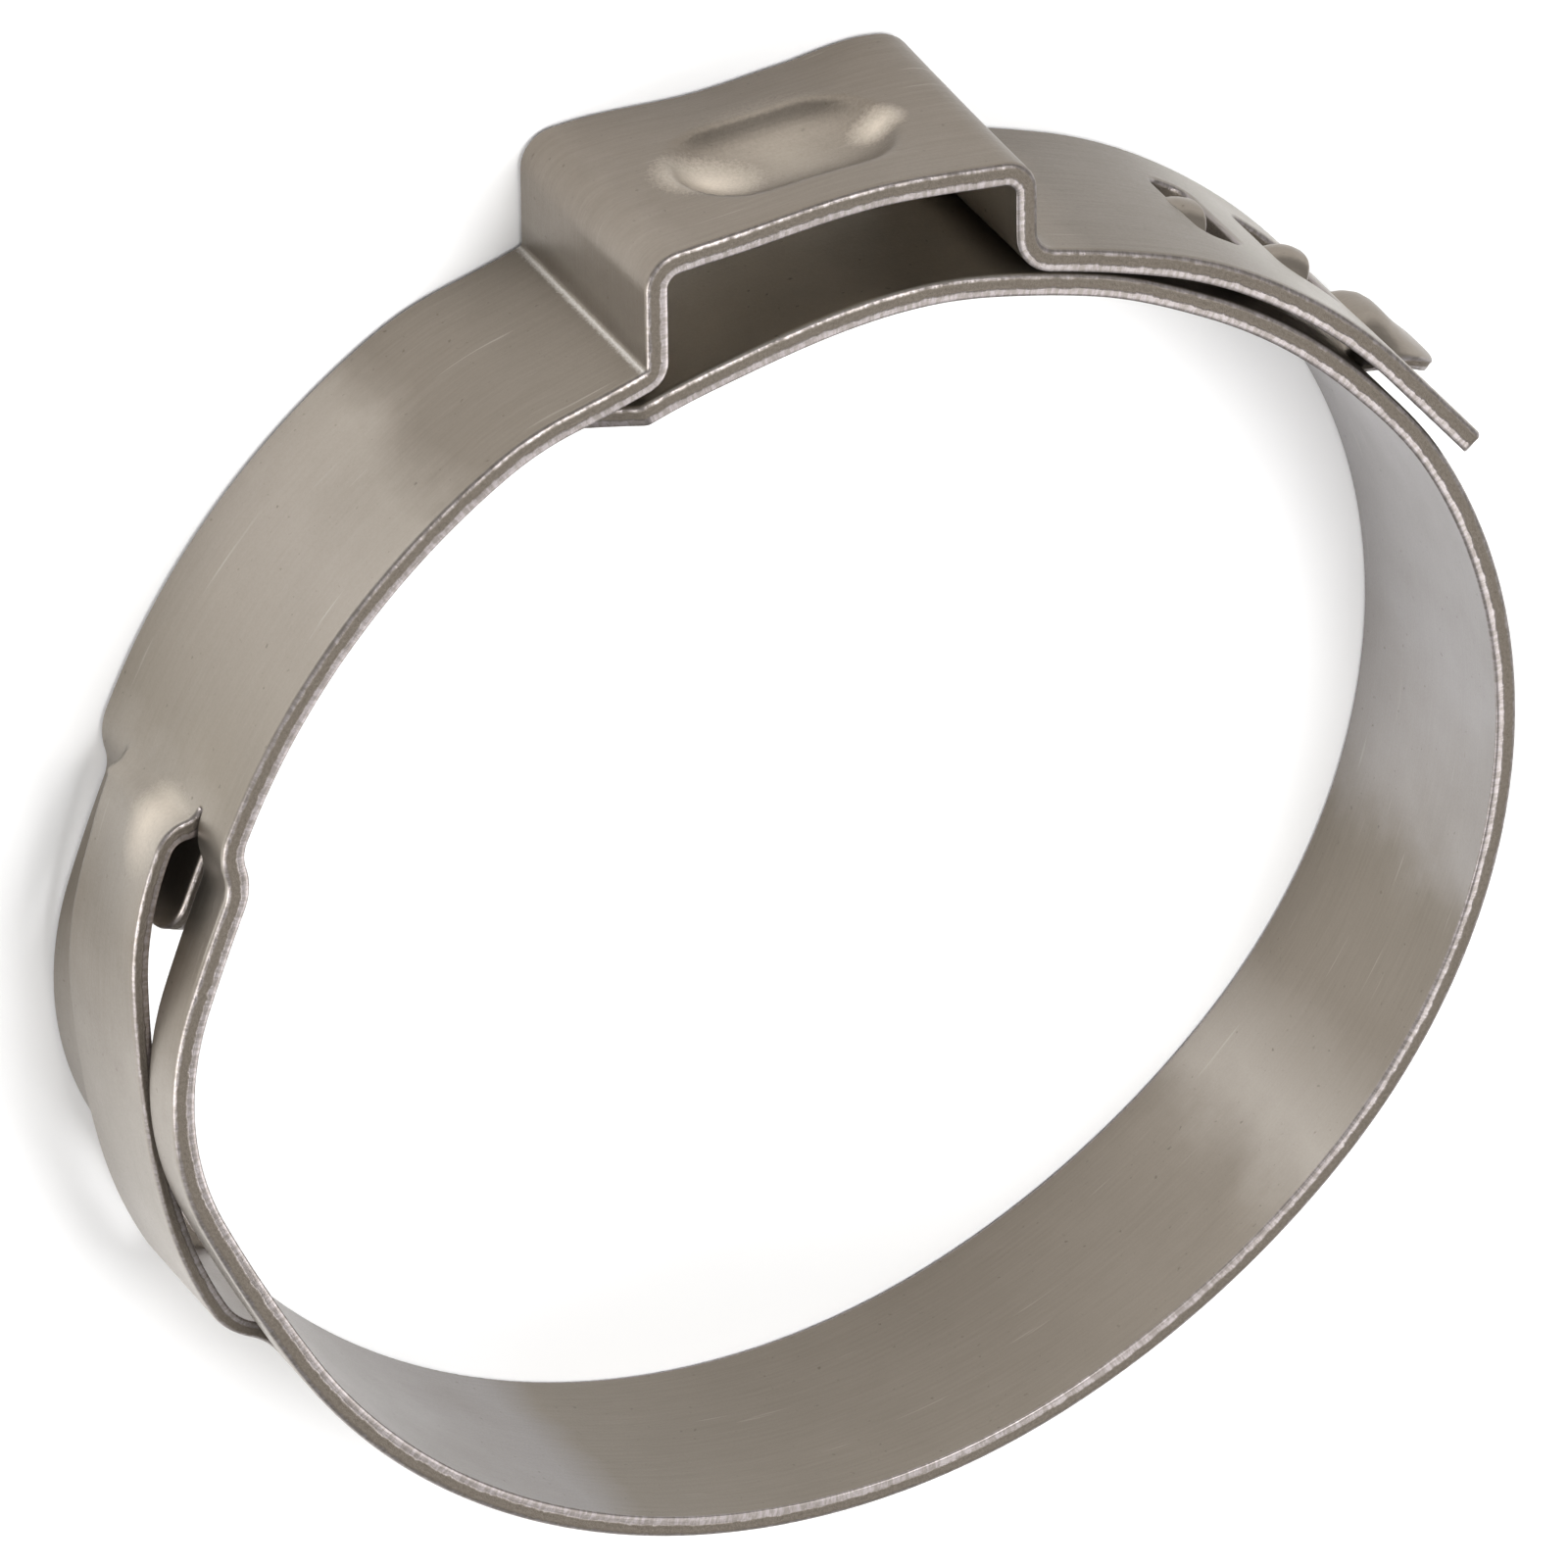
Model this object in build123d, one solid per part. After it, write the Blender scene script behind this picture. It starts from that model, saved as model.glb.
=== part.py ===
from build123d import *
from math import acos, atan2, cos, degrees, radians, sin, sqrt
import os

# Ear hose clamp: one stamped and rolled strip of stainless steel, with no joint.
# The strip winds about one turn and a half round the bore, clockwise seen from +Z.
# It starts as a narrow tongue, widens at two shoulders, runs round as the inner layer,
# splits into a raised belt between two side strips that let the tongue in, steps out by
# one thickness, rises as the ear and ends as an outer layer with windows for three hooks.
# The bore runs along Z and the ear points to +Y. Angles are in degrees, counted from +X.

# ---------------------------------------------------------------- driving dimensions, mm
bore_diameter = 34.6
band_width = 7.0
thickness = 0.6
lap_clearance = 0.06

# the open ring lies on the bore above and below, and springs out past it on each side
right_spring = 1.17
right_spring_angle = 9.8
right_peak_radius = 16.5
right_flank_above = 31.0
right_flank_below = 21.0
left_spring = 0.86
left_spring_angle = 182.2
left_peak_radius = 8.5
left_flank = 56.0

ear_width = 9.6
ear_height = 2.1
ear_arch_radius = 60.0
ear_top_bend = 0.65
left_foot_bend = 0.45
right_foot_bend = 1.0

dimple_length = 5.6
dimple_width = 3.7
dimple_depth = 0.55

tongue_width = 3.6
tongue_tip_radius = 1.2
tongue_end = 169.2
shoulder_angle = 108.6

belt_width = 4.0
slit_gap = 0.12
slit_start = 156.8
slit_end = 210.8
step_length = 1.85
belt_crown_angle = 160.5
belt_crown_lift = 1.4
belt_heel_angle = 203.5
belt_heel_lift = 0.75

landing_angle = 63.0
tail_lift = 0.76
tail_bend_angle = 36.0
tail_end = 26.0
tail_end_lift = 1.1
tail_corner_radius = 0.35

hook_width = 2.4
hook_wall = 0.5
catch_length = 1.5
first_catch_angle = 51.4
first_catch_lift = 1.45
second_catch_angle = 41.2
second_catch_lift = 1.6
corner_share = 0.48
crest_share = 0.36
guide_root_angle = 37.0
guide_rise_length = 1.5
guide_tip_angle = 28.3
guide_gap = 0.07
guide_stretch = 1.5

# the free end's three windows: where each begins, seen from the ear, and where it ends
first_window = (56.8, 49.6)
second_window = (46.6, 38.8)
guide_window = (37.2, 31.2)
window_width = 3.3
window_corner = 0.5

# small lengths and angles used when edges are looked up
full_turn = 360
touch = 0.001

# ---------------------------------------------------------------- what follows from them
bore_radius = bore_diameter / 2
half = thickness / 2
mid_height = band_width / 2
outer_lift = thickness + lap_clearance
slit_low = mid_height - belt_width / 2
slit_high = mid_height + belt_width / 2


def direction(angle):
    """Unit vector at an angle from +X."""
    return Vector(cos(radians(angle)), sin(radians(angle)))


def sprung_arcs(axis, spring, peak_radius, flank_radius, side):
    """The two arcs from where the ring springs out most to where it meets the bore.

    Each arc is given as its lowest angle, its highest angle, its centre and its radius.
    Side is 1 for the arcs that lie at higher angles than the axis, and -1 below it.
    """
    reach = bore_radius + spring - peak_radius
    slack = flank_radius - bore_radius
    blend = flank_radius - peak_radius
    turn = acos((blend ** 2 - reach ** 2 - slack ** 2) / (2 * reach * slack))
    meeting = axis + side * degrees(turn)
    peak_centre = direction(axis) * reach
    flank_centre = direction(meeting) * -slack
    joint = peak_centre + (peak_centre - flank_centre).normalized() * peak_radius
    between = axis + side * degrees(acos(joint.normalized().dot(direction(axis))))
    return [(min(axis, between), max(axis, between), peak_centre, peak_radius),
            (min(between, meeting), max(between, meeting), flank_centre, flank_radius)]


right_ring = (right_spring_angle, right_spring, right_peak_radius)
left_ring = (left_spring_angle, left_spring, left_peak_radius)
ring_arcs = (sprung_arcs(*right_ring, right_flank_above, 1)
             + sprung_arcs(*right_ring, right_flank_below, -1)
             + sprung_arcs(*left_ring, left_flank, -1)
             + sprung_arcs(*left_ring, left_flank, 1))


def ring_arc(angle):
    """Centre and radius of the arc of the bore line that lies at this angle."""
    for low, high, centre, radius in ring_arcs:
        if (angle - low) % full_turn < high - low:
            return centre, radius
    return Vector(0, 0), bore_radius


def on_ring(angle, lift):
    """A stop on the strip's middle line, seen from the bore's axis at this angle.

    The strip's bore face lies outward from the bore line by lift.
    A stop is a point with the clockwise direction of the strip there.
    """
    centre, radius = ring_arc(angle)
    ray = direction(angle)
    along = ray.dot(centre)
    reach = along + sqrt(radius ** 2 - centre.dot(centre) + along ** 2)
    normal = (ray * reach - centre).normalized()
    return centre + normal * (radius + lift + half), Vector(normal.Y, -normal.X)


def along_ring(start, end, lift):
    """Stops from one angle down to another, with one wherever the ring's arc changes."""
    ends = {limit for arc in ring_arcs for limit in arc[:2]}
    turns = [angle + turn for angle in ends for turn in (-full_turn, 0, full_turn)]
    inside = sorted((angle for angle in turns if end < angle < start), reverse=True)
    return [on_ring(a, lift) for a in [start] + inside + [end]]


def s_bend(first, last):
    """The middle stop of two tangent arcs that lead from one stop to another."""
    (start, go), (finish, arrive) = first, last
    span = finish - start
    turn = 2 * (go.dot(arrive) - 1)
    run = -2 * span.dot(go + arrive)
    reach = span.dot(span)
    if abs(turn) < touch ** 3:
        arm = -reach / run
    else:
        arm = (-run - sqrt(run * run - 4 * turn * reach)) / (2 * turn)
    before = start + go * arm
    after = finish - arrive * arm
    return [((before + after) / 2, (after - before).normalized())]


def swing(first, last):
    """The last stop turned so that one arc leads to it from the first stop."""
    chord = (last[0] - first[0]).normalized()
    return last[0], chord * (2 * chord.dot(first[1])) - first[1]


def side_line(stops, offset):
    """Edges along the strip, offset from its middle line, outward when positive."""
    edges = []
    points = [point + Vector(-way.Y, way.X) * offset for point, way in stops]
    for here, there, (_, way) in zip(points, points[1:], stops):
        chord = there - here
        if abs(chord.cross(way).Z) < touch ** 2:
            edges.append(Line(here, there))
        else:
            edges.append(TangentArc(here, there, tangent=way))
    return edges, points[0], points[-1]


def strip(stops, low, high):
    """The strip along its stops, cut from one height to another."""
    outer, outer_start, outer_end = side_line(stops, half)
    inner, inner_start, inner_end = side_line(stops, -half)
    ends = [Line(outer_end, inner_end), Line(inner_start, outer_start)]
    face = Face(Wire(outer + inner + ends))
    return Pos(0, 0, low) * extrude(face, amount=high - low, dir=(0, 0, 1))


def at_ring(angle):
    """Plane on the bore line: X towards the ear, Y outward, at the middle of the width."""
    foot, way = on_ring(angle, -half)
    return Plane(origin=(foot.X, foot.Y, mid_height), x_dir=-way, z_dir=(0, 0, -1))


def window(first, last, width, corner):
    """Cutter through one layer, from one of its stops to another, with round corners."""
    start, finish = first[0], last[0]
    middle = (start + finish) / 2
    cutter = Box((finish - start).length, 2 * thickness, width)
    cutter = fillet(cutter.edges().filter_by(Axis.Y), corner)
    place = Plane(origin=(middle.X, middle.Y, mid_height), x_dir=start - finish,
                  z_dir=(0, 0, -1))
    return place * cutter


# ---------------------------------------------------------------- tongue and inner layer
def tongue():
    """Narrow end of the inner layer, which slides into the tunnel below the belt."""
    low = mid_height - tongue_width / 2
    body = strip(along_ring(tongue_end, shoulder_angle, 0), low, low + tongue_width)
    tip, way = on_ring(tongue_end, 0)
    corners = body.edges().filter_by(lambda e: (e.center() - tip).dot(way) < half)
    corners = corners.filter_by(lambda e: abs(e.length - thickness) < touch)
    return fillet(corners, tongue_tip_radius)


def inner_layer():
    """Full width from the slanted shoulders round to the slits."""
    slant = (band_width - tongue_width) / 2
    start = shoulder_angle + degrees(slant / (bore_radius + half))
    body = strip(along_ring(start, slit_end - full_turn, 0), 0, band_width)
    head, way = on_ring(start, 0)
    corners = body.edges().filter_by(lambda e: (e.center() - head).length < bore_radius)
    corners = corners.filter_by(lambda e: abs((e.center() - head).dot(way)) < touch)
    corners = corners.filter_by(lambda e: abs(e.length - thickness) < touch)
    return chamfer(corners, slant - touch)


# ---------------------------------------------------------------- slit part: belt and sides
def side_strips():
    """The two narrow strips beside the belt, which step out to the outer layer."""
    step_turn = degrees(step_length / (bore_radius + half))
    low_end = on_ring(slit_start + step_turn, 0)
    high_end = on_ring(slit_start, outer_lift)
    stops = along_ring(slit_end, slit_start + step_turn, 0)
    stops += s_bend(low_end, high_end) + [high_end]
    near = strip(stops, slit_high + slit_gap / 2, band_width)
    far = strip(stops, 0, slit_low - slit_gap / 2)
    return near + far


def belt():
    """The raised middle of the band, a tunnel for the tongue."""
    start = on_ring(slit_end, 0)
    heel = on_ring(belt_heel_angle, belt_heel_lift)
    crown = on_ring(belt_crown_angle, belt_crown_lift)
    finish = on_ring(slit_start, outer_lift)
    stops = [start] + s_bend(start, heel) + [heel] + s_bend(heel, crown)
    stops += [crown] + s_bend(crown, finish) + [finish]
    return strip(stops, slit_low + slit_gap / 2, slit_high - slit_gap / 2)


# ---------------------------------------------------------------- outer layer and ear
def ear_leg(side, foot_bend):
    """Stops of one leg, from the outer layer up to the ear's arch.

    Side is -1 for the leg on the left of +Y and 1 for the leg on its right.
    """
    leg = ear_width / 2 + half
    foot = Vector(side * (leg + foot_bend), 0)
    centre, radius = ring_arc(degrees(atan2(bore_radius, foot.X)))
    reach = radius + outer_lift + half + foot_bend
    foot.Y = centre.Y + sqrt(reach ** 2 - (foot.X - centre.X) ** 2)
    landing = (foot - centre).normalized()
    arch_centre = Vector(0, bore_radius + outer_lift + ear_height + half - ear_arch_radius)
    corner = Vector(side * (leg - ear_top_bend), 0)
    corner.Y = arch_centre.Y + sqrt((ear_arch_radius - ear_top_bend) ** 2 - corner.X ** 2)
    to_corner = (corner - arch_centre).normalized()
    along = Vector(0, -side)
    return [(foot - landing * foot_bend, Vector(landing.Y, -landing.X)),
            (Vector(side * leg, foot.Y), along),
            (Vector(side * leg, corner.Y), along),
            (arch_centre + to_corner * ear_arch_radius, Vector(to_corner.Y, -to_corner.X))]


ear_stops = ear_leg(-1, left_foot_bend) + ear_leg(1, right_foot_bend)[::-1]
ear_start_angle, ear_end_angle = (degrees(atan2(point.Y, point.X))
                                  for point, _ in (ear_stops[0], ear_stops[-1]))
tail_bend = on_ring(tail_bend_angle, tail_lift)


def over_ring(angle, lift):
    """A stop over the free end, which turns outward past the bend before its end."""
    share = max(0, tail_bend_angle - angle) / (tail_bend_angle - tail_end)
    return on_ring(angle, tail_lift + (tail_end_lift - tail_lift) * share ** 2 + lift)


def outer_layer():
    """From the slits over the ear to the free end, with its windows."""
    end = swing(tail_bend, on_ring(tail_end, tail_end_lift))
    stops = along_ring(slit_start, ear_start_angle, outer_lift)[:-1] + ear_stops
    stops += along_ring(ear_end_angle, landing_angle, outer_lift)[1:]
    stops += s_bend(stops[-1], tail_bend) + [tail_bend, end]
    body = strip(stops, 0, band_width)
    inner_end = end[0] - Vector(-end[1].Y, end[1].X) * half
    near_end = (inner_end.X, inner_end.Y, mid_height)
    corner = body.edges().filter_by(Axis.Z).sort_by_distance(near_end)[0]
    body = fillet(corner, tail_corner_radius)
    for start, finish in (first_window, second_window, guide_window):
        first, last = over_ring(start, 0), over_ring(finish, 0)
        body = body - window(first, last, window_width, window_corner)
    return body


def dimple(body):
    """Long hollow pressed into the ear's top, with the sheet pushed down below it."""
    radius = ((dimple_width / 2) ** 2 + dimple_depth ** 2) / (2 * dimple_depth)
    top = bore_radius + outer_lift + ear_height + thickness
    axis = top - dimple_depth + radius
    straight = dimple_length - dimple_width

    def capsule(size):
        ends = [Pos(side * straight / 2, 0, 0) * Sphere(size) for side in (-1, 1)]
        return Rot(0, full_turn / 4, 0) * Cylinder(size, straight) + ends

    place = Pos(0, axis, mid_height)
    below = Pos(0, top - half, mid_height) * Box(ear_width, 2 * dimple_depth, band_width)
    below = Pos(0, -dimple_depth, 0) * below
    pushed = (place * capsule(radius + thickness)) & below
    return body + pushed - place * capsule(radius)


# ---------------------------------------------------------------- hooks on the inner layer
def drawn_dome(width, length, crest, foot):
    """Solid dome from foot to crest, closed towards the ear and flat at its mouth."""
    dome = Pos(length / 2, (crest + foot) / 2, 0) * Box(length, crest - foot, width)
    corners = dome.edges().filter_by(Axis.Y).sort_by(Axis.X)[-2:]
    dome = fillet(corners, corner_share * width)
    rim = dome.faces().sort_by(Axis.Y)[-1].edges()
    rim = rim.filter_by(lambda e: e.center().X > touch)
    return fillet(rim, crest_share * width)


def catch_hook(angle, crest):
    """Small drawn hook: its shell, and the hollow that is open to the bore."""
    shell = drawn_dome(hook_width, catch_length, crest, half)
    inside = catch_length - hook_wall
    hollow = drawn_dome(hook_width - 2 * hook_wall, inside, crest - hook_wall, -half)
    place = at_ring(angle)
    return place * shell, place * hollow


def guide_hook():
    """Long hook lanced from the inner layer: the hook itself, and the hole it leaves."""
    over_tail = thickness + guide_gap
    rise_end = guide_root_angle - degrees(guide_rise_length / (bore_radius + outer_lift))
    root = on_ring(guide_root_angle, 0)
    top = over_ring(rise_end, over_tail)
    stops = [root] + s_bend(root, top)
    stops += [top, swing(top, over_ring(guide_tip_angle, over_tail))]
    low = mid_height - hook_width / 2
    hook = strip(stops, low, low + hook_width)
    tip = stops[-1][0]
    corners = hook.edges().sort_by_distance((tip.X, tip.Y, mid_height))
    corners = corners.filter_by(lambda e: abs(e.length - thickness) < touch)[:2]
    hook = fillet(corners, corner_share * hook_width)
    first = on_ring(guide_root_angle - degrees(slit_gap / bore_radius), 0)
    last = on_ring(guide_tip_angle - guide_stretch, 0)
    return hook, window(first, last, hook_width + 2 * slit_gap, slit_gap / 2)


# ---------------------------------------------------------------- the whole clamp
def clamp_band():
    """The whole strip as one solid."""
    inner = tongue() + inner_layer()
    for angle, crest in ((first_catch_angle, first_catch_lift),
                         (second_catch_angle, second_catch_lift)):
        shell, hollow = catch_hook(angle, crest)
        inner = inner + shell - hollow
    hook, hole = guide_hook()
    inner = inner - hole + hook
    outer = dimple(outer_layer())
    return inner + side_strips() + belt() + outer


os.makedirs("parts", exist_ok=True)
band = clamp_band()
export_step(band, "parts/clamp_band.step")
print("clamp_band", len(band.solids()), "solid", round(band.volume, 1), "mm3")
print("valid", band.is_valid)
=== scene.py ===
from cmath import exp as turn_to, phase
from math import acos, atan2, ceil, cos, degrees, hypot, pi, radians, sin, sqrt

import bpy
import numpy as np
from mathutils import Matrix, Vector
from mathutils.geometry import delaunay_2d_cdt


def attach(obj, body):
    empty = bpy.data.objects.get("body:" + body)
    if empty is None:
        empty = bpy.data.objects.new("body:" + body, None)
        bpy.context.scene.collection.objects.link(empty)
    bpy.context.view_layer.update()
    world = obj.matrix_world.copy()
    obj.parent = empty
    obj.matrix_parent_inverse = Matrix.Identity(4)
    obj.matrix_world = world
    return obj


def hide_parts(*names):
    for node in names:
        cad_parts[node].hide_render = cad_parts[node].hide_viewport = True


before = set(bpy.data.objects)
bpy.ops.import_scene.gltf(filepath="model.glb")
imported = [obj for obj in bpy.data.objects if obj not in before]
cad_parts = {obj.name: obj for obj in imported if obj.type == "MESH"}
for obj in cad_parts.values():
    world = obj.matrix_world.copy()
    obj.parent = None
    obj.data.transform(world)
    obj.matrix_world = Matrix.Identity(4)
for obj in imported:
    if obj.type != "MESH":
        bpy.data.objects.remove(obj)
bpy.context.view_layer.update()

# Ear hose clamp. The strip is drawn flat first: "run" is the length along the strip from the
# tongue's tip to the free end, "z" is across it, and "depth" is through its thickness.
# Then every point is rolled up: the strip winds clockwise seen from +Z, round the bore on Z.
# All lengths are in millimetres up to the last step, and angles count from +X, in degrees.
# Points in the XY plane are complex numbers, so a turn by 90 degrees is a factor of 1j.

mm = 0.001

# ---------------------------------------------------------------- sizes of the strip
bore_radius = 17.3
band_width = 7.0
thickness = 0.6
half = thickness / 2
middle = band_width / 2
outer_lift = 0.66

ear_width, ear_height, ear_arch_radius = 9.6, 2.1, 60.0
ear_top_bend, left_foot_bend, right_foot_bend = 0.65, 0.45, 1.0
dimple_length, dimple_width, dimple_depth = 6.0, 3.7, 0.6
dimple_shift, dimple_across = -0.05, 0.3

tongue_half, tongue_tip_radius, tongue_end, shoulder_angle = 1.8, 1.2, 169.2, 108.9

slit_start, slit_end, step_length = 156.8, 211.6, 1.85
slit_low, slit_high, slit_gap = 1.5, 5.5, 0.06
belt_crown_angle, belt_crown_lift = 161.0, 1.5
belt_waist_angle, belt_waist_lift = 184.0, 0.2
belt_heel_angle, belt_heel_lift = 203.5, 0.84

landing_angle, tail_rise_angle, tail_bend_angle, tail_lift = 69.0, 53.0, 36.0, 0.77
tail_end, tail_end_lift = 25.9, 1.1
foot_rest_angle, foot_rest_lift = 121.0, 0.28

# each drawn hook: angle of its mouth, height, half width, middle across, length of its ramp
catches = ((51.9, 1.08, 1.05, 3.25, 1.6), (41.6, 1.24, 1.0, 3.5, 1.5))
guide_half, guide_root_angle, guide_tip_angle, guide_flat_tip = 1.55, 37.6, 28.4, 30.4
window_low, window_high, window_corner = 1.7, 4.85, 0.45
windows = ((54.3, 50.2), (45.8, 39.2), (37.6, 31.0))


# ---------------------------------------------------------------- the line the strip follows
def direction(angle):
    """Unit vector at an angle from +X."""
    return turn_to(1j * radians(angle))


def dot(a, b):
    return a.real * b.real + a.imag * b.imag


def sprung_arcs(axis, spring, peak_radius, flank_radius, side):
    """Two arcs from where the ring springs out most to where it meets the bore circle."""
    reach = bore_radius + spring - peak_radius
    slack = flank_radius - bore_radius
    blend = flank_radius - peak_radius
    turn = acos((blend ** 2 - reach ** 2 - slack ** 2) / (2 * reach * slack))
    meeting = axis + side * degrees(turn)
    peak_centre = direction(axis) * reach
    flank_centre = direction(meeting) * -slack
    gap = peak_centre - flank_centre
    joint = peak_centre + gap / abs(gap) * peak_radius
    between = axis + side * degrees(abs(phase(joint / direction(axis))))
    return [(min(axis, between), max(axis, between), peak_centre, peak_radius),
            (min(between, meeting), max(between, meeting), flank_centre, flank_radius)]


ring_arcs = (sprung_arcs(9.8, 1.17, 16.5, 31, 1) + sprung_arcs(9.8, 1.17, 16.5, 21, -1)
             + sprung_arcs(182.2, 0.86, 8.5, 56, -1) + sprung_arcs(182.2, 0.86, 8.5, 56, 1))


def ring_arc(angle):
    """Centre and radius of the arc of the bore line at this angle."""
    for low, high, centre, radius in ring_arcs:
        if (angle - low) % 360 < high - low:
            return centre, radius
    return 0j, bore_radius


def on_ring(angle, lift):
    """A stop: a point on the strip's middle line and the clockwise direction there."""
    centre, radius = ring_arc(angle)
    ray = direction(angle)
    along = dot(ray, centre)
    reach = along + sqrt(radius ** 2 - abs(centre) ** 2 + along ** 2)
    normal = ray * reach - centre
    normal /= abs(normal)
    return centre + normal * (radius + lift + half), normal * -1j


def along_ring(start, end, lift):
    """Stops from one angle down to another, with one wherever the ring's arc changes."""
    ends = {limit for arc in ring_arcs for limit in arc[:2]}
    turns = [angle + turn for angle in ends for turn in (-360, 0, 360)]
    inside = sorted((angle for angle in turns if end < angle < start), reverse=True)
    return [on_ring(a, lift) for a in [start] + inside + [end]]


def s_bend(first, last):
    """The middle stop of two tangent arcs that lead from one stop to another."""
    (start, go), (finish, arrive) = first, last
    span = finish - start
    turn = 2 * (dot(go, arrive) - 1)
    run = -2 * dot(span, go + arrive)
    reach = abs(span) ** 2
    if abs(turn) < 1e-9:
        arm = -reach / run
    else:
        arm = (-run - sqrt(run * run - 4 * turn * reach)) / (2 * turn)
    before, after = start + go * arm, finish - arrive * arm
    return [((before + after) / 2, (after - before) / abs(after - before))]


def ear_leg(side, foot_bend):
    """Stops of one leg of the ear, on the left (-1) or the right (1) of +Y."""
    leg = ear_width / 2 + half
    foot_x = side * (leg + foot_bend)
    centre, radius = ring_arc(degrees(atan2(bore_radius, foot_x)))
    lift = foot_rest_lift if side < 0 else outer_lift
    reach = radius + lift + half + foot_bend
    foot = complex(foot_x, centre.imag + sqrt(reach ** 2 - (foot_x - centre.real) ** 2))
    landing = (foot - centre) / abs(foot - centre)
    arch_centre = 1j * (bore_radius + outer_lift + ear_height + half - ear_arch_radius)
    corner_x = side * (leg - ear_top_bend)
    rise = sqrt((ear_arch_radius - ear_top_bend) ** 2 - corner_x ** 2)
    corner = complex(corner_x, arch_centre.imag + rise)
    to_corner = (corner - arch_centre) / abs(corner - arch_centre)
    return [(foot - landing * foot_bend, landing * -1j),
            (complex(side * leg, foot.imag), -side * 1j),
            (complex(side * leg, corner.imag), -side * 1j),
            (arch_centre + to_corner * ear_arch_radius, to_corner * -1j)]


class Line:
    """A line of tangent arcs through stops, sampled closely, with its run at every sample."""

    def __init__(self, stops):
        points, ways, runs, self.marks = [stops[0][0]], [stops[0][1]], [0.0], [0.0]
        for (here, way), (there, _) in zip(stops, stops[1:]):
            chord = there - here
            bend = 2 * phase(chord / way)
            if abs(bend) < 1e-7:
                length, curve = abs(chord), 1e-9
            else:
                length = abs(chord) * (bend / 2) / sin(bend / 2)
                curve = bend / length
            count = max(2, ceil(length / 0.05), ceil(abs(bend) / radians(2)))
            for share in range(1, count + 1):
                step = length * share / count
                facing = turn_to(1j * curve * step)
                points.append(here + way * (facing - 1) / (1j * curve))
                ways.append(way * facing)
                runs.append(self.marks[-1] + step)
            self.marks.append(runs[-1])
        self.points, self.ways, self.runs = (np.array(a) for a in (points, ways, runs))
        self.length = runs[-1]

    def at(self, run):
        """Points and outward normals at these runs."""
        return [np.interp(run, self.runs, v.real) + 1j * np.interp(run, self.runs, v.imag)
                for v in (self.points, self.ways * 1j)]

    def run_at(self, angle, after, before):
        """The run where the line is seen at this angle from the bore's axis."""
        inside = np.flatnonzero((self.runs >= after) & (self.runs <= before))
        miss = np.abs(np.angle(self.points[inside] / direction(angle)))
        return self.runs[inside[np.argmin(miss)]]


def build_band_line():
    """The line of the whole strip, with the runs where its parts meet."""
    step = degrees(step_length / (bore_radius + half))
    inner = along_ring(tongue_end, slit_end - 360, 0)
    side = along_ring(slit_end, slit_start + step, 0)[1:]
    climb = s_bend(side[-1], on_ring(slit_start, outer_lift))
    ear = ear_leg(-1, left_foot_bend) + ear_leg(1, right_foot_bend)[::-1]
    ear_end = degrees(phase(ear[-1][0]))
    left = along_ring(slit_start, foot_rest_angle, outer_lift)
    left += s_bend(left[-1], ear[0])
    tail = along_ring(ear_end, landing_angle, outer_lift)[1:]
    rise = on_ring(tail_rise_angle, tail_lift)
    tail += s_bend(tail[-1], rise) + along_ring(tail_rise_angle, tail_bend_angle, tail_lift)
    tail.append(on_ring(tail_end, tail_end_lift))
    line = Line(inner + side + climb + left + ear + tail)
    count = [len(part) for part in (inner, side, climb, left, ear)]
    slits = line.marks[count[0] - 1], line.marks[sum(count[:3])]
    top = line.marks[sum(count[:4])], line.marks[sum(count)]
    return line, slits, top


band, (run_slit_end, run_slit_start), (run_ear_start, run_ear_end) = build_band_line()
run_ear_middle = band.run_at(90, run_ear_start, run_ear_end)


def build_belt_line():
    """The line of the raised belt, between the two ends of the slits."""
    start, finish = on_ring(slit_end, 0), on_ring(slit_start, outer_lift)
    heel = on_ring(belt_heel_angle, belt_heel_lift)
    crown = on_ring(belt_crown_angle, belt_crown_lift)
    waist = on_ring(belt_waist_angle, belt_waist_lift)
    return Line([start] + s_bend(start, heel) + [heel] + s_bend(heel, waist)
                + [waist] + s_bend(waist, crown)
                + [crown] + s_bend(crown, finish) + [finish])


belt = build_belt_line()


def inner_run(angle):
    """Run on the inner layer, from the ear round to the hooks."""
    return band.run_at(angle, 0, 75)


def tail_run(angle):
    """Run on the free end, past the ear."""
    return band.run_at(angle, run_ear_end, band.length)


run_guide_root = inner_run(guide_root_angle)
run_guide_tip = inner_run(guide_flat_tip)


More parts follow.
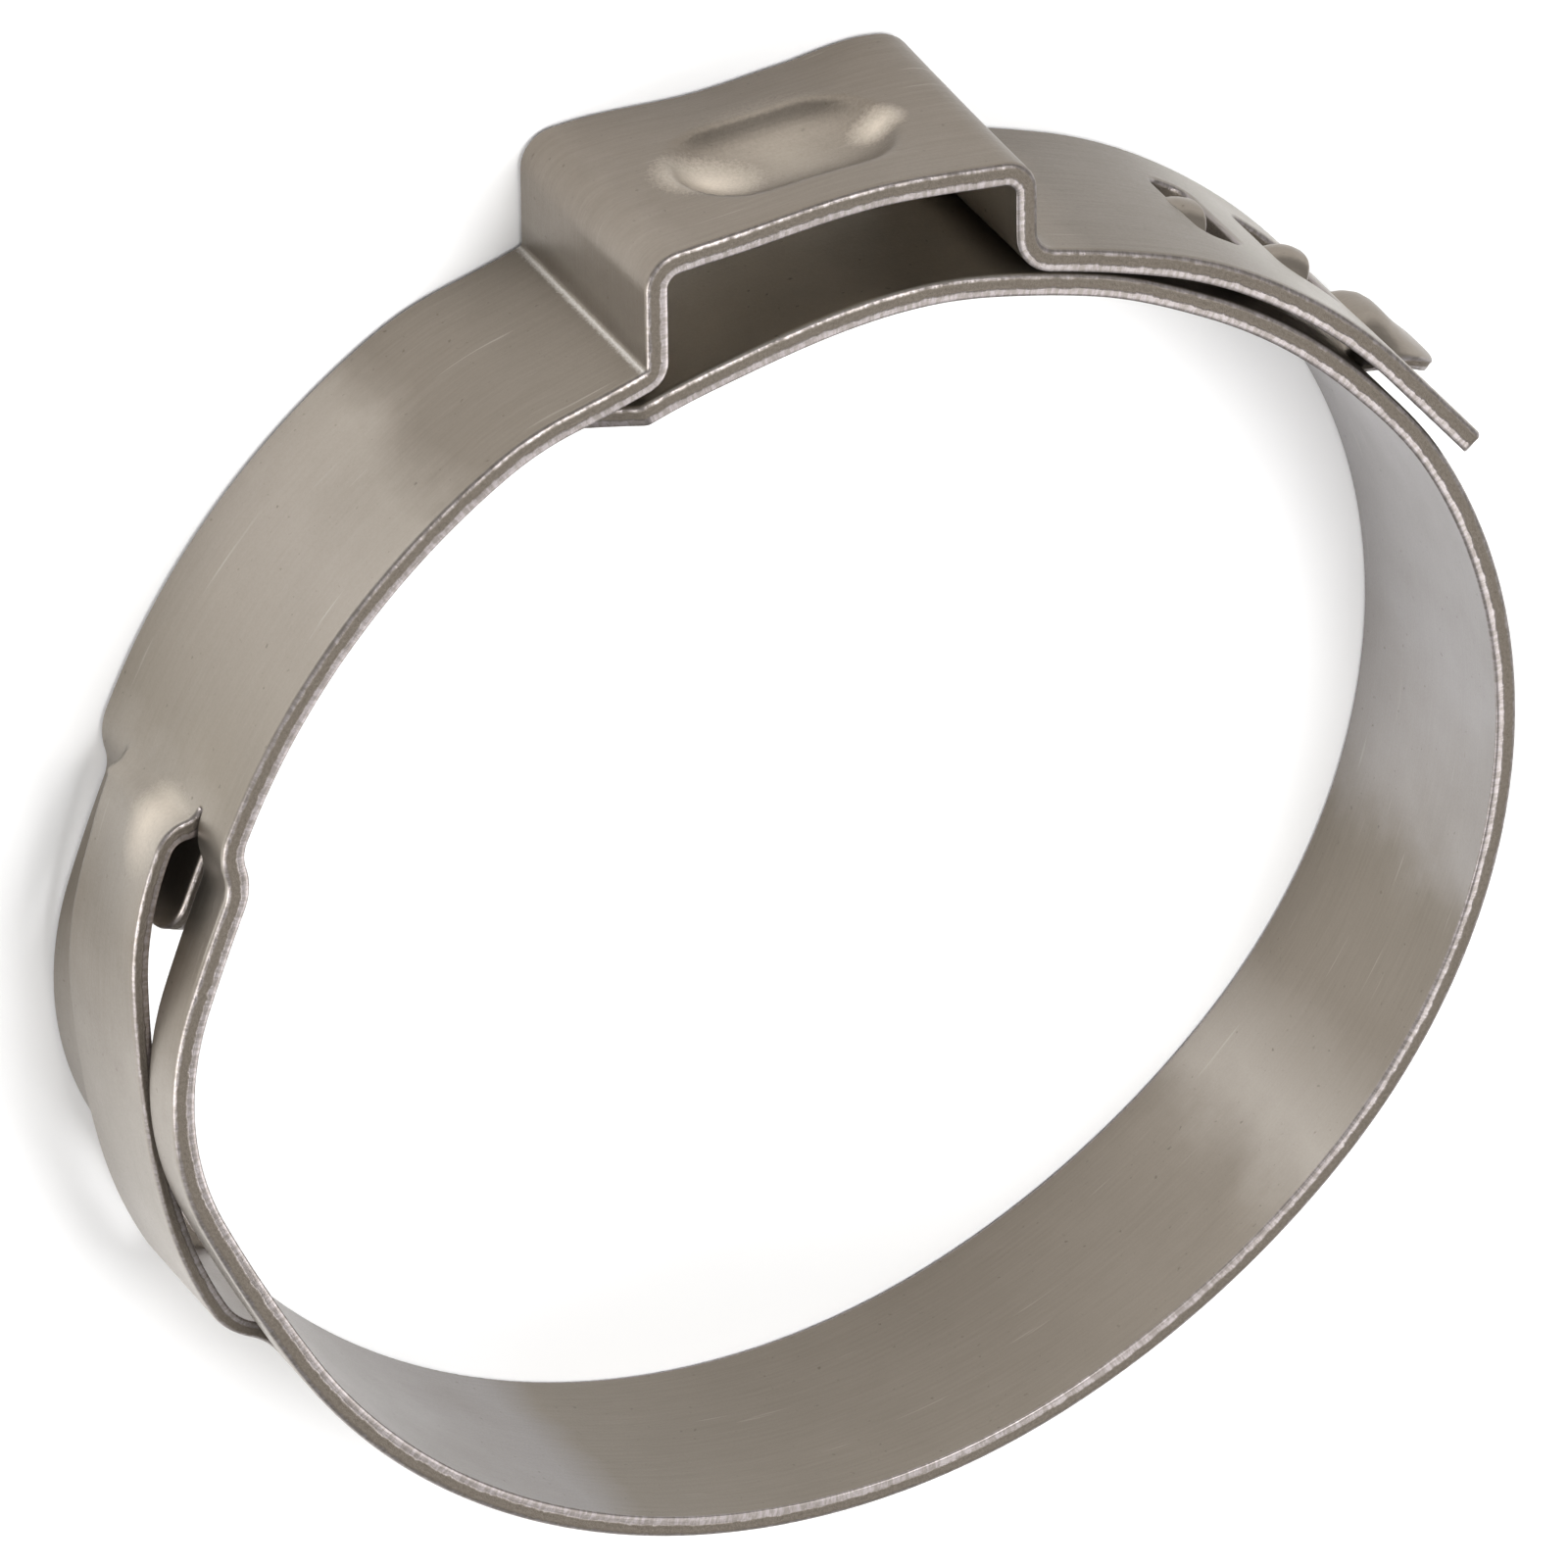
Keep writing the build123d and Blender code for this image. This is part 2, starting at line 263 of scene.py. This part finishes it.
# ---------------------------------------------------------------- outline of the flat strip
def rounded(corners, radius, spacing=0.12):
    """Closed outline through corners; each corner is cut by an arc of its own radius."""
    corners = [complex(*c) for c in corners]
    radii = radius if isinstance(radius, (list, tuple)) else [radius] * len(corners)
    outline = []
    for k, (corner, r) in enumerate(zip(corners, radii)):
        before, after = corners[k - 1], corners[(k + 1) % len(corners)]
        back, ahead = (before - corner), (after - corner)
        back, ahead = back / abs(back), ahead / abs(ahead)
        between = abs(phase(ahead / back))
        cut = r / np.tan(between / 2)
        start, finish = corner + back * cut, corner + ahead * cut
        if r < 1e-6:
            outline.append(corner)
            continue
        turn = pi - between
        side = 1 if phase(ahead / -back) > 0 else -1
        count = max(3, ceil(turn * r / spacing), ceil(turn / radians(20)))
        heading = -back
        for share in range(count + 1):
            facing = turn_to(1j * side * turn * share / count)
            outline.append(start + heading * (facing - 1) * side * r / 1j)
    closed = []
    for here, there in zip(outline, outline[1:] + outline[:1]):
        pieces = max(1, round(abs(there - here) / spacing))
        closed += [here + (there - here) * k / pieces for k in range(pieces)]
    return np.array(closed)


def strip_outline():
    """Outside of the flat strip: tongue, slanted shoulders, long edges and free end."""
    shoulder = inner_run(shoulder_angle)
    neck = shoulder - (middle - tongue_half)
    low, high = middle - tongue_half, middle + tongue_half
    corners = [(0, high), (0, low), (neck, low), (shoulder, 0), (band.length, 0),
               (band.length, band_width), (shoulder, band_width), (neck, high)]
    radii = [tongue_tip_radius, tongue_tip_radius, 0.5, 0.3, 0.25, 0.25, 0.3, 0.5]
    return rounded(corners, radii)


def box_hole(first, last, low, high, corner, spacing=0.12):
    """Hole of the flat strip between two runs, clockwise so that metal is on its left."""
    return rounded([(first, low), (first, high), (last, high), (last, low)], corner, spacing)


def hole_outlines():
    """Every opening cut in the flat strip."""
    holes = []
    for edge, start in ((slit_low, run_slit_start - 1.3), (slit_high, run_slit_start)):
        holes.append(box_hole(run_slit_end, start, edge - slit_gap / 2,
                              edge + slit_gap / 2, slit_gap / 2 - 0.001, 0.1))
    for start, finish in windows:
        holes.append(box_hole(tail_run(start), tail_run(finish), window_low, window_high,
                              window_corner, 0.1))
    for angle, _, half_width, across, _ in catches:
        mouth = inner_run(angle)
        holes.append(box_hole(mouth, mouth + 0.08, across - half_width - 0.05,
                              across + half_width + 0.05, 0.03, 0.06))
    # a U-shaped cut frees the long hook's tip
    low, high, gap, start = middle - guide_half, middle + guide_half, 0.06, run_guide_root + 1.1
    corners = [(start, low - gap), (start, low), (run_guide_tip, low), (run_guide_tip, high),
               (start, high), (start, high + gap), (run_guide_tip + gap, high + gap),
               (run_guide_tip + gap, low - gap)]
    holes.append(rounded(corners, [0.02, 0.02, 0.95, 0.95, 0.02, 0.02, 1.0, 1.0], 0.1))
    return holes


# ---------------------------------------------------------------- pressed and drawn shapes
def ease(x):
    """Smooth step from 0 to 1."""
    x = np.clip(x, 0, 1)
    return x * x * (3 - 2 * x)


def bump(x, width):
    """Smooth hump, 1 in the middle and 0 from width on."""
    return ease(1 - np.abs(x) / width)


def pressed(run, z):
    """How far the sheet is pushed outward from its line at each point of the flat strip."""
    lift = np.zeros_like(run)
    # two drawn hooks: rounded bumps, closed towards the ear and cut open at the far side
    for angle, height, half_width, across, ramp in catches:
        ahead = (run - inner_run(angle)) / ramp
        off = np.hypot(np.clip(-ahead, 0, None), (z - across) / half_width)
        dome = np.clip(1 - off ** 2.6, 0, 1) ** 0.8
        lift += np.where((ahead <= 0.02) & (off < 1), height * dome, 0)
    # dimple in the ear's top
    dimple_straight = (dimple_length - dimple_width) / 2
    along = np.clip(np.abs(run - run_ear_middle - dimple_shift) - dimple_straight, 0, None)
    off = np.hypot(along, z - middle - dimple_across) / (dimple_width / 2)
    lift -= dimple_depth * np.clip(1 - off ** 3, 0, 1)
    # the sheet swells where the tongue's tunnel begins, and more on its near side
    past = run - run_slit_start
    lift += 0.1 * bump(past - 0.6, 2.6) * bump(z - 4.4, 2.2)
    return lift


def roll_up(run, z, depth):
    """Places points of the flat strip in space. Depth counts from the bore face outward."""
    point, normal = band.at(run)
    in_belt = ((run > run_slit_end) & (run < run_slit_start)
               & (z > slit_low) & (z < slit_high))
    share = (run - run_slit_end) / (run_slit_start - run_slit_end)
    belt_point, belt_normal = belt.at(share * belt.length)
    point = np.where(in_belt, belt_point, point)
    normal = np.where(in_belt, belt_normal, normal)
    # the belt's far edge stays lower than its near edge, where the tunnel gapes
    low_far_side = ease((slit_high - z) / 4) * ease((share - 0.6) / 0.25) * ease((1 - share) / 0.09)
    tilt = np.where(in_belt, -0.5 * low_far_side, 0)
    # the long hook bulges from the inner layer: its sides are walls at the root and come free
    # towards its tip, where it reaches out over the free end
    climb = (run - run_guide_root) / (run_guide_tip - run_guide_root)
    past_corner = np.clip(run - run_guide_tip + 0.95, 0, None)
    beside = np.clip(np.abs(z - middle) - guide_half + 0.95, 0, None)
    on_guide = (climb > 0) & (np.hypot(past_corner, beside) < 0.97)
    guide_point, guide_normal = guide.at(np.clip(climb, 0, 1) * guide.length)
    walls = 1 - 0.86 * ease((climb - 0.3) / 0.6)
    raised = 1 - walls * np.clip(np.abs(z - middle) / guide_half, 0, 1) ** 3
    raised = np.where(on_guide, raised, 0)
    point = point + (guide_point - point) * raised
    normal = normal + (guide_normal - normal) * raised
    normal = normal / np.abs(normal)
    # the inner layer's end has sprung a little into the bore, under the ear's left foot
    shoulder = inner_run(shoulder_angle)
    spring_in = -0.6 * ease((run - shoulder + 11) / 8) * (1 - ease((run - shoulder - 2) / 8))
    # the ear's top is bowed up at its near edge and sags along its far edge
    x, far = run - run_ear_middle, 1 - z / band_width
    top = 0.19 * bump(x - 0.9, 4.2) * (1 - far)
    top += (0.24 * bump(x - 4.0, 2.2) - 0.26 * bump(x + 0.6, 3.6)) * far ** 1.5
    thin = np.where(on_guide, 1 - 0.4 * ease(climb / 0.3), 1.0)
    thin = np.where(in_belt, 1 - 0.25 * ease(share / 0.1) * ease((1 - share) / 0.1), thin)
    # it also lies a little off the free end where the hooks are
    sunk = -0.11 * ease((run - inner_run(68)) / 4) * ease((inner_run(27) - run) / 4)
    sunk = sunk * (1 - raised)
    out = (depth - half) * thin + pressed(run, z) + tilt + spring_in + top + sunk
    place = point + normal * out
    return np.stack([place.real, place.imag, z], 1)


def build_guide_line():
    """The line of the long hook, from its root on the inner layer to over the free end."""
    root = on_ring(guide_root_angle, 0)
    top = on_ring(33.4, 1.46)
    stops = [root] + s_bend(root, top) + [top, on_ring(guide_tip_angle - 0.4, 1.72)]
    return Line(stops)


guide = build_guide_line()

# ---------------------------------------------------------------- the mesh
# Rings of the cut edge, from the outer face to the bore face: how far each lies inside the
# outline, and its depth. The outer corner is rolled over by the punch, the other is sharp.
edge_profile = [(0.17, 0.6), (0.125, 0.6), (0.085, 0.588), (0.045, 0.562), (0.015, 0.522),
                (0.0, 0.47), (0.004, 0.4), (0.008, 0.3), (0.0, 0.2), (0.0, 0.1),
                (0.0, 0.035), (0.012, 0.008), (0.03, 0.0), (0.08, 0.0)]


def moved_in(outline, distance):
    """The outline moved into the metal, which lies on its left."""
    ahead, behind = np.roll(outline, -1), np.roll(outline, 1)
    one, two = ahead - outline, outline - behind
    one, two = one / np.abs(one), two / np.abs(two)
    normal = (one + two) * 1j
    normal /= np.abs(normal)
    stretch = np.clip(1 / np.maximum(np.abs((one.conjugate() * normal).imag), 0.3), 1, 1.6)
    return outline + normal * distance * stretch


def inside_loops(points, loops):
    """Which points lie inside an odd number of loops."""
    inside = np.zeros(len(points), bool)
    for loop in loops:
        for here, there in zip(loop, np.roll(loop, -1)):
            low, high = sorted((here.imag, there.imag))
            crossing = (points.imag > low) & (points.imag <= high)
            if not crossing.any():
                continue
            rows = points[crossing]
            x = here.real + (rows.imag - here.imag) * (there.real - here.real) \
                / (there.imag - here.imag)
            hit = np.zeros(len(points), bool)
            hit[crossing] = x > rows.real
            inside ^= hit
    return inside


def distance_to(points, loops):
    """Distance from each point to the nearest outline point, found on a coarse grid."""
    every = np.concatenate(loops)
    order = np.argsort(every.real)
    every = every[order]
    nearest = np.full(len(points), 9.0)
    reach = 0.6
    low = np.searchsorted(every.real, points.real - reach)
    high = np.searchsorted(every.real, points.real + reach)
    for k, point in enumerate(points):
        if high[k] > low[k]:
            nearest[k] = np.abs(every[low[k]:high[k]] - point).min()
    return nearest


def spread_points(loops):
    """Points over the flat strip, closer together where it is bent or pressed."""
    fine = [(inner_run(57), run_guide_tip + 0.5, 0.12),
            (run_ear_start - 0.6, run_ear_end + 0.3, 0.17),
            (run_slit_start - 7, run_slit_start + 4, 0.17),
            (run_slit_end - 0.5, run_slit_end + 6, 0.2),
            (tail_run(58), band.length, 0.22)]
    fine.sort()
    runs, at = [], 0.0
    found = []
    while at < band.length:
        space = min([s for a, b, s in fine if a <= at <= b], default=0.34)
        rows = max(2, round(band_width / space / 0.9))
        shift = 0.5 if len(runs) % 2 else 0.0
        z = (np.arange(rows) + 0.25 + shift) * band_width / rows
        found.append(at + 1j * z)
        runs.append(at)
        at += space
    points = np.concatenate(found)
    points = points[inside_loops(points, loops)]
    return points[distance_to(points, loops) > 0.13]


def face_mesh(loops, interior):
    """Triangles of one face of the flat strip, inside its loops."""
    sizes = [len(loop) for loop in loops]
    starts = np.cumsum([0] + sizes)
    edges = [(int(start) + k, int(start) + (k + 1) % size)
             for start, size in zip(starts, sizes) for k in range(size)]
    flat = np.concatenate(loops + [interior])
    cdt = delaunay_2d_cdt([Vector((p.real, p.imag)) for p in flat], edges, [], 0, 1e-6)
    made = np.array([(v.x, v.y) for v in cdt[0]])
    original = np.array([ids[0] for ids in cdt[3]])
    triangles = np.array([f for f in cdt[2] if len(f) == 3])
    centre = made[triangles].mean(1)
    keep = inside_loops(centre[:, 0] + 1j * centre[:, 1], loops)
    spans = np.ptp(made[triangles], axis=1).max(1)
    keep &= spans < 1.5
    return original[triangles[keep]]


def build_strip():
    """The whole strip as one closed mesh, with the cut edge's depth kept for its finish."""
    loops = [strip_outline()] + hole_outlines()
    rings = [[moved_in(loop, inset) for loop in loops] for inset, _ in edge_profile]
    interior = spread_points(rings[0])
    run, z, depth, edge = [], [], [], []
    for (inset, at_depth), ring in zip(edge_profile, rings):
        for loop in ring:
            run.append(loop.real)
            z.append(loop.imag)
            depth.append(np.full(len(loop), at_depth))
            edge.append(np.full(len(loop), inset))
    per_ring = sum(len(loop) for loop in loops)
    outer_first = per_ring * len(edge_profile)
    for at_depth in (thickness, 0.0):
        run.append(interior.real)
        z.append(interior.imag)
        depth.append(np.full(len(interior), at_depth))
        edge.append(np.full(len(interior), 1.0))
    run, z, depth, edge = (np.concatenate(a) for a in (run, z, depth, edge))
    faces = []
    for last, ring_index, start in ((False, 0, outer_first),
                                    (True, len(rings) - 1, outer_first + len(interior))):
        triangles = face_mesh(rings[ring_index], interior)
        ids = np.where(triangles < per_ring, triangles + per_ring * ring_index,
                       triangles - per_ring + start)
        a, b, c = (run[ids[:, k]] + 1j * z[ids[:, k]] for k in range(3))
        left = ((b - a).conjugate() * (c - a)).imag > 0
        wanted = left if last else ~left
        ids = np.where(wanted[:, None], ids, ids[:, ::-1])
        faces.append(ids)
    side = []
    at = 0
    for loop in loops:
        here = at + np.arange(len(loop))
        there = at + (np.arange(len(loop)) + 1) % len(loop)
        for k in range(len(edge_profile) - 1):
            low, high = k * per_ring, (k + 1) * per_ring
            side.append(np.stack([here + low, there + low, there + high, here + high], 1))
        at += len(loop)
    sides = np.concatenate(side)
    places = roll_up(run, z, depth)
    mesh = bpy.data.meshes.new("clamp_strip")
    polygons = [tuple(map(int, f)) for f in np.concatenate(faces)]
    polygons += [tuple(map(int, f)) for f in sides]
    mesh.from_pydata((places * mm).tolist(), [], polygons)
    mesh.validate()
    mesh.shade_smooth()
    for name, values in (("run", run), ("across", z), ("depth", depth), ("inset", edge)):
        layer = mesh.attributes.new(name, "FLOAT", "POINT")
        layer.data.foreach_set("value", values.astype(np.float32))
    mesh.update()
    piece = bpy.data.objects.new("clamp_strip", mesh)
    bpy.context.scene.collection.objects.link(piece)
    return piece


strip = build_strip()
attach(strip, "root")
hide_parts("clamp_band")

# ---------------------------------------------------------------- camera
aim = Vector((-0.032, 1.978, 3.5)) * mm
azimuth, elevation, roll = radians(125.710), radians(49.210), radians(135.820)
distance, lens = 496.29 * mm, 454.43


def build_camera():
    """Long lens from above the ear's left, turned so that the band lies across the view."""
    away = Vector((cos(azimuth) * cos(elevation), sin(azimuth) * cos(elevation),
                   sin(elevation)))
    level = Vector((-sin(azimuth), cos(azimuth), 0))
    up = away.cross(level)
    right = level * cos(roll) + up * sin(roll)
    top = away.cross(right)
    data = bpy.data.cameras.new("camera")
    data.lens, data.sensor_width = lens, 36
    data.clip_start, data.clip_end = 0.01, 10
    camera = bpy.data.objects.new("camera", data)
    bpy.context.scene.collection.objects.link(camera)
    camera.matrix_world = Matrix(((right.x, top.x, away.x, 0), (right.y, top.y, away.y, 0),
                                  (right.z, top.z, away.z, 0), (0, 0, 0, 1)))
    camera.location = aim + away * distance
    bpy.context.scene.camera = camera


build_camera()


# ---------------------------------------------------------------- finish and light
def colour(hex_code):
    """Linear colour of an sRGB hex code."""
    parts = [int(hex_code[k:k + 2], 16) / 255 for k in (1, 3, 5)]
    return [c / 12.92 if c <= 0.04045 else ((c + 0.055) / 1.055) ** 2.4 for c in parts] + [1]


def add(tree, kind, inputs, output=0, **settings):
    """Adds a node with its settings and its inputs, set or linked, and gives one output."""
    node = tree.nodes.new("ShaderNode" + kind)
    for name, value in settings.items():
        setattr(node, name, value)
    for name, value in inputs.items():
        if isinstance(value, bpy.types.NodeSocket):
            tree.links.new(value, node.inputs[name])
        else:
            node.inputs[name].default_value = value
    return node.outputs[output]


def new_material(name):
    """An empty material, its tree and the socket that its shader goes to."""
    material = bpy.data.materials.new(name)
    material.use_nodes = True
    tree = material.node_tree
    tree.nodes.clear()
    return material, tree, tree.nodes.new("ShaderNodeOutputMaterial").inputs["Surface"]


def first_turn(angle):
    """Run near an angle on the first, inner turn."""
    return radians(tongue_end - angle) * (bore_radius + half)


def second_turn(angle):
    """Run near an angle on the second turn, before the ear."""
    return run_ear_start - radians(angle - 104) * (bore_radius + outer_lift + half)


# painted reflections and shade: the satin's own tone on each side of the strip, made lighter or
# darker in stretches along its run, with the inside of the ear lightened and its top darkened
bore_side_tone_and_painted_light = [(0.0, "#8A8177"), (first_turn(60), "#8A8177"), (first_turn(30), "#ABA9AC"),
             (first_turn(0), "#A9A7A9"), (first_turn(-17), "#A39F9D"),
             (first_turn(-23), "#7D756A"), (first_turn(-36), "#82796E"),
             (first_turn(-46), "#B9B2AA"), (first_turn(-54), "#8B8277"),
             (first_turn(-75), "#7C7368"), (first_turn(-116), "#7E766B"),
             (first_turn(-120), "#959293"), (run_ear_start - 2, "#8A8177"),
             (run_ear_start + 2, "#CFC7BB"), (run_ear_end - 2, "#C3BBAF"),
             (run_ear_end, "#7E766B"), (band.length, "#8A8177")]
outside_tone_and_painted_light = [(0.0, "#8A8177"), (first_turn(112), "#B5ADA1"), (first_turn(100), "#CFC7BB"),
           (first_turn(72), "#C7BFB3"), (first_turn(66), "#8A8177"),
           (first_turn(-140), "#8A8177"), (second_turn(212), "#A29B93"),
           (second_turn(196), "#B1ABA4"), (second_turn(178), "#A8A199"),
           (second_turn(167), "#857C70"), (second_turn(158), "#AFA89F"),
           (second_turn(150), "#8E867A"), (second_turn(141), "#9C948A"),
           (second_turn(132), "#A69E95"), (second_turn(124), "#A39B91"),
           (second_turn(119), "#7A7166"), (run_ear_start, "#7C7368"),
           (run_ear_start + 1.2, "#A79F96"), (run_ear_start + 2.2, "#968D83"),
           (run_ear_middle - 3.8, "#756B60"), (run_ear_middle, "#6F655A"),
           (run_ear_end, "#746A5F"), (tail_run(66), "#645B51"),
           (tail_run(54), "#766E65"), (tail_run(47), "#ACA8A1"), (band.length, "#A8A299")]


# painted highlights in the dimple's ends, over its floor and where the tunnel begins: run, place
# across, reach, strength
painted_highlights = [(run_ear_middle - 2.1, 3.8, 1.5, 0.85), (run_ear_middle + 2.6, 3.7, 0.8, 0.65),
               (run_ear_middle + 0.2, 3.5, 2.6, 0.3), (second_turn(157), 4.4, 1.4, 0.55)]


def satin_stainless():
    """Satin cold-rolled stainless: a warm grey strip with fine lengthwise rolling lines and
    cloudy patches, whose cut edges show a bright sheared zone under a dark torn one."""
    material, tree, surface = new_material("satin_cold_rolled_stainless")
    run, across, depth, inset = (add(tree, "Attribute", {}, "Fac", attribute_name=name)
                                 for name in ("run", "across", "depth", "inset"))

    # millimetres on the flat strip, the same pulled out along the rolling direction, and the
    # same pulled out across the strip, for the streaks on its cut edges
    flat = add(tree, "CombineXYZ", {"X": run, "Y": across, "Z": depth})
    drawn_out, upright = (
        add(tree, "VectorMath", {0: flat, 1: stretch}, operation="MULTIPLY")
        for stretch in ((0.05, 1.0, 1.0), (1.0, 0.06, 0.3)))
    clouds, lines, grain, rubs, pits, ragged, streaks, crumbs = (
        add(tree, "TexNoise", {"Vector": place, "Scale": scale, "Detail": detail,
                               "Roughness": roughness})
        for place, scale, detail, roughness in (
            (flat, 0.35, 4.0, 0.55),       # clouds: patches about 3 mm long
            (drawn_out, 9.0, 4.0, 0.65),   # lines: rolling lines 0.1 mm apart
            (flat, 14.0, 3.0, 0.7),        # grain of 0.07 mm, drawn coarser than the real one
            (drawn_out, 5.0, 2.0, 0.55),   # rubs: a few marks some millimetres long
            (flat, 5.0, 2.0, 0.4),         # pits: small dark marks of 0.1 mm
            (upright, 3.2, 3.0, 0.7),      # ragged: border of the torn zone, waves of 0.3 mm
            (upright, 8.0, 3.0, 0.7),      # streaks of 0.1 mm left by the shear
            (flat, 10.0, 4.0, 0.7)))       # crumbs of 0.1 mm in the torn zone

    # painted reflections and shade: broad lighter and darker stretches along each side of the
    # strip, whose borders wander with the clouds
    wander = add(tree, "Math", {0: clouds, 1: 2.4 / band.length, 2: -1.2 / band.length},
                 operation="MULTIPLY_ADD")
    share = add(tree, "Math", {0: run, 1: 1 / band.length, 2: wander}, operation="MULTIPLY_ADD")
    tones_with_painted_light = []
    for stops in (bore_side_tone_and_painted_light, outside_tone_and_painted_light):
        tones_with_painted_light.append(add(tree, "ValToRGB", {"Fac": share}))
        parts = tones_with_painted_light[-1].node.color_ramp.elements
        for place, _ in stops[1:-1]:
            parts.new(place / band.length)
        for part, (place, code) in zip(parts, stops):
            part.position, part.color = place / band.length, colour(code)
    on_outside = add(tree, "MapRange", {"Value": depth, "From Min": 0.25, "From Max": 0.35})
    body = add(tree, "Mix", {0: on_outside, 6: tones_with_painted_light[0], 7: tones_with_painted_light[1]}, 2, data_type="RGBA")

    # marks over it, and the painted highlights added below: where from, the span that goes from
    # bare to full, strength and colour
    marks = [(clouds, 0.0, 1.0, 0.42, "#6F675C"), (lines, 0.0, 1.0, 0.17, "#C9C3BA"),
             (grain, 0.0, 1.0, 0.2, "#6A6257"), (rubs, 0.69, 0.78, 0.22, "#D8D3CB"),
             (pits, 0.7, 0.78, 0.45, "#4E463C")]
    # painted highlights: bright spots over the dimple and where the tunnel begins, and a bright
    # line along the ear's foot
    for place, height, reach, strength in painted_highlights:
        highlight_spot = add(tree, "VectorMath", {0: flat, 1: (place, height, thickness)},
                   operation="SUBTRACT")
        highlight_spot = add(tree, "VectorMath", {0: highlight_spot, 1: (1 / reach, 1.25 / reach, 4.0)},
                   operation="MULTIPLY")
        highlight_spot = add(tree, "VectorMath", {0: highlight_spot}, "Value", operation="LENGTH")
        highlight_spot = add(tree, "Math", {0: grain, 1: 0.5, 2: highlight_spot}, operation="MULTIPLY_ADD")
        marks.append((highlight_spot, 1.3, 0.3, strength, "#E6DACA"))
    # painted highlight: a narrow bright line along the ear's left foot
    foot = add(tree, "Math", {0: run, 1: run_ear_start + 0.1}, operation="SUBTRACT")
    foot = add(tree, "Math", {0: foot}, operation="ABSOLUTE")
    foot = add(tree, "Math", {0: grain, 1: 0.3, 2: foot}, operation="MULTIPLY_ADD")
    marks.append((foot, 0.36, 0.12, 0.6, "#EEEBE6"))
    for source, bare, full, strength, code in marks:
        share = add(tree, "MapRange", {"Value": source, "From Min": bare, "From Max": full,
                                       "To Max": strength})
        body = add(tree, "Mix", {0: share, 6: body, 7: colour(code)}, 2, data_type="RGBA")

    # cut edge: sheared smooth by the bore side, torn in the middle, rolled over outside
    edge = add(tree, "MapRange", {"Value": inset, "From Min": 0.1, "From Max": 0.02})
    border = add(tree, "Math", {0: ragged, 1: 0.16, 2: -0.08}, operation="MULTIPLY_ADD")
    border = add(tree, "Math", {0: depth, 1: border}, operation="ADD")
    torn = edge
    for bare, full in ((0.2, 0.25), (0.52, 0.46)):
        torn = add(tree, "MapRange", {"Value": border, "From Min": bare, "From Max": full,
                                      "To Max": torn})
    shear_streaks = add(tree, "MapRange", {"Value": streaks, "From Min": 0.42, "From Max": 0.6})
    for share, pattern, dark, light in ((edge, shear_streaks, "#857E7A", "#9E9796"),
                                        (torn, crumbs, "#5A524A", "#8B8379")):
        cut = add(tree, "Mix", {0: pattern, 6: colour(dark), 7: colour(light)}, 2,
                  data_type="RGBA")
        body = add(tree, "Mix", {0: share, 6: body, 7: cut}, 2, data_type="RGBA")

    # satin: rougher in the clouds and the grain, and dull where the metal tore
    rough = add(tree, "Math", {0: grain, 1: 0.16, 2: 0.22}, operation="MULTIPLY_ADD")
    rough = add(tree, "Math", {0: clouds, 1: 0.14, 2: rough}, operation="MULTIPLY_ADD")
    rough = add(tree, "Math", {0: torn, 1: 0.28, 2: rough}, operation="MULTIPLY_ADD")
    # relief in millimetres: faint rolling lines and grain, slow waves, and the torn crumbs
    crumble = add(tree, "Math", {0: crumbs, 1: torn}, operation="MULTIPLY")
    relief = 0.0
    for source, height in ((lines, 0.004), (grain, 0.004), (clouds, 0.012), (crumble, 0.025)):
        relief = add(tree, "Math", {0: source, 1: height, 2: relief}, operation="MULTIPLY_ADD")
    normal = add(tree, "Bump", {"Strength": 1.0, "Distance": mm, "Height": relief})
    shader = add(tree, "BsdfPrincipled", {"Base Color": body, "Metallic": 1.0,
                                          "Roughness": rough, "Normal": normal})
    tree.links.new(shader, surface)
    return material


def white_floor():
    """Plain matt white sheet: gives a clean background that keeps the clamp's soft shadow."""
    material, tree, surface = new_material("matt_white_sheet")
    shader = add(tree, "BsdfPrincipled", {"Base Color": colour("#FAFAFA"), "Roughness": 0.9,
                                          "Specular IOR Level": 0.0})
    tree.links.new(shader, surface)
    return material


def lay_floor():
    """Wide sheet just under the clamp's lower edge."""
    half, height = 0.6, -0.05 * mm
    mesh = bpy.data.meshes.new("floor")
    mesh.from_pydata([(-half, -half, height), (half, -half, height), (half, half, height),
                      (-half, half, height)], [], [(0, 1, 2, 3)])
    floor = bpy.data.objects.new("floor", mesh)
    bpy.context.scene.collection.objects.link(floor)
    mesh.materials.append(white_floor())


def softbox(name, azimuth_degrees, elevation_degrees, away, size, power):
    """Square soft lamp that faces the clamp."""
    data = bpy.data.lights.new(name, "AREA")
    data.size, data.energy = size, power
    lamp = bpy.data.objects.new(name, data)
    bpy.context.scene.collection.objects.link(lamp)
    a, e = radians(azimuth_degrees), radians(elevation_degrees)
    to_lamp = Vector((cos(a) * cos(e), sin(a) * cos(e), sin(e)))
    lamp.location = to_lamp * away
    lamp.rotation_euler = to_lamp.to_track_quat("Z", "Y").to_euler()


strip.data.materials.append(satin_stainless())
lay_floor()
softbox("softbox_high", 60, 70, 0.6, 0.35, 3.0)
softbox("softbox_left", 200, 28, 0.6, 0.3, 2.0)
softbox("softbox_behind", 320, 40, 0.6, 0.25, 1.0)

world = bpy.data.worlds.new("studio")
bpy.context.scene.world = world
world.use_nodes = True
sky = world.node_tree.nodes["Background"]
sky.inputs["Color"].default_value = colour("#FFFFFF")
sky.inputs["Strength"].default_value = 0.45
bpy.context.scene.view_settings.view_transform = "Standard"
